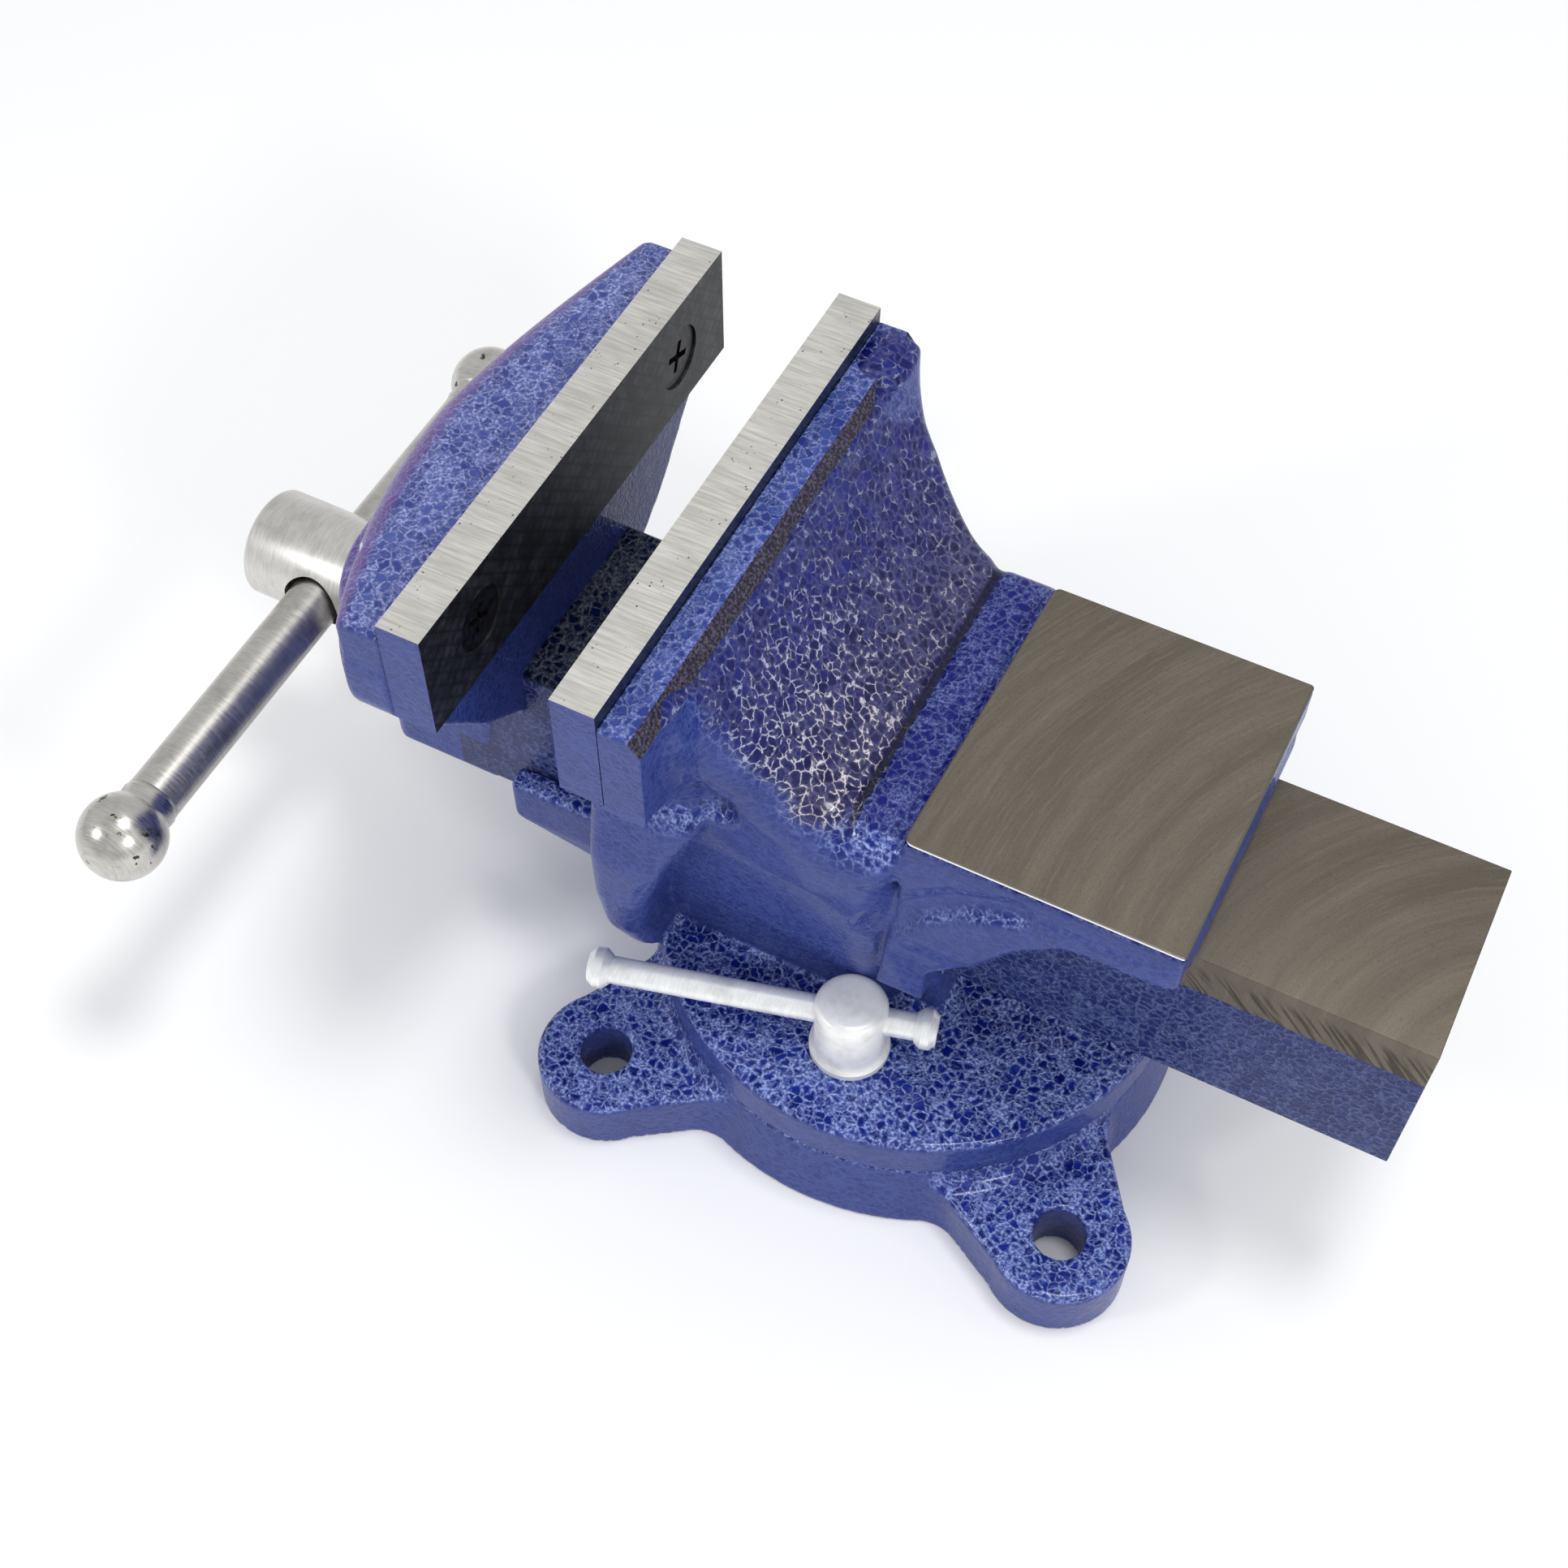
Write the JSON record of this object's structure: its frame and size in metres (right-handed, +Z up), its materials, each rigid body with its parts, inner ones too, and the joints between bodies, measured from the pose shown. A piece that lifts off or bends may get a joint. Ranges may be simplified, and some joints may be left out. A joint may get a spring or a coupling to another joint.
{
  "type": "machine vise",
  "caption": "Bench vise on a swivel base, with a sliding front jaw, replaceable jaw plates, an anvil pad behind the fixed jaw and a ball-ended handle.",
  "frame": {"origin": "on the swivel axis, at the underside of the base", "axes": "+X along the main screw towards the anvil, +Y to the right of a user who faces the screw's head from the front, +Z up"},
  "size_m": [0.3005, 0.1796, 0.156],
  "materials": {
    "enamel": "blue hammertone enamel on cast iron; the anvil's top and the slide's top and upper sides are milled bare",
    "hardened_steel": "ground on the top, blackened and cross-hatched on the gripping face",
    "black_steel": "black oxide",
    "grey_iron": "bare, oiled",
    "zinc_steel": "bright zinc plate",
    "turned_steel": "turned, satin",
    "spring_steel": "oiled spring wire"
  },
  "bodies": {
    "base": {"swivel_base": "enamel"},
    "body": {"fixed_body": "enamel", "fixed_jaw_plate": "hardened_steel", "fixed_jaw_screws": "black_steel", "screw_nut": "grey_iron", "nut_washer": "zinc_steel", "nut_bolt": "zinc_steel", "clamp_bolt_near": "black_steel", "clamp_bolt_far": "black_steel", "clamp_washer_near": "zinc_steel", "clamp_washer_far": "zinc_steel"},
    "jaw": {"moving_jaw": "enamel", "moving_jaw_plate": "hardened_steel", "moving_jaw_screws": "black_steel"},
    "screw": {"main_screw": "turned_steel", "thrust_washer": "zinc_steel", "spring_washer": "zinc_steel", "screw_spring": "spring_steel", "spring_collar": "grey_iron", "collar_pin": "zinc_steel"},
    "handle": {"handle_bar": "turned_steel", "handle_ball_near": "turned_steel", "handle_ball_far": "turned_steel"},
    "nut_near": {"clamp_nut_near": "zinc_steel"},
    "nut_far": {"clamp_nut_far": "zinc_steel"},
    "bar_near": {"tommy_bar_near": "zinc_steel", "tommy_knob_near": "zinc_steel"},
    "bar_far": {"tommy_bar_far": "zinc_steel", "tommy_knob_far": "zinc_steel"}
  },
  "joints": [
    {"name": "swivel", "type": "hinge", "parent": "base", "child": "body", "pos_m": [0, 0, 0.02], "axis": [0, 0, 1], "continuous": true},
    {"name": "jaw_slide", "type": "slide", "parent": "body", "child": "jaw", "axis": [-1, 0, 0], "range_m": [-0.0287, 0.096]},
    {"name": "screw_turn", "type": "hinge", "parent": "jaw", "child": "screw", "pos_m": [-0.16, 0, 0.074], "axis": [-1, 0, 0], "range_deg": [-2600, 8700]},
    {"name": "handle_slide", "type": "slide", "parent": "screw", "child": "handle", "axis": [0, 1, 0], "range_m": [-0.042, 0.062]},
    {"name": "nut_near_turn", "type": "hinge", "parent": "body", "child": "nut_near", "pos_m": [0, -0.041, 0.046], "axis": [0, 0, 1], "range_deg": [-5, 3.5]},
    {"name": "nut_far_turn", "type": "hinge", "parent": "body", "child": "nut_far", "pos_m": [0, 0.041, 0.046], "axis": [0, 0, 1], "range_deg": [-3.5, 5]},
    {"name": "bar_near_slide", "type": "slide", "parent": "nut_near", "child": "bar_near", "axis": [0.9659, 0.2588, 0], "range_m": [-0.0035, 0.045]},
    {"name": "bar_far_slide", "type": "slide", "parent": "nut_far", "child": "bar_far", "axis": [0.9659, -0.2588, 0], "range_m": [-0.0035, 0.045]}
  ],
  "couplings": [
    {"joint": "screw_turn", "follows": "jaw_slide", "rad_per_m": 1570.8}
  ]
}
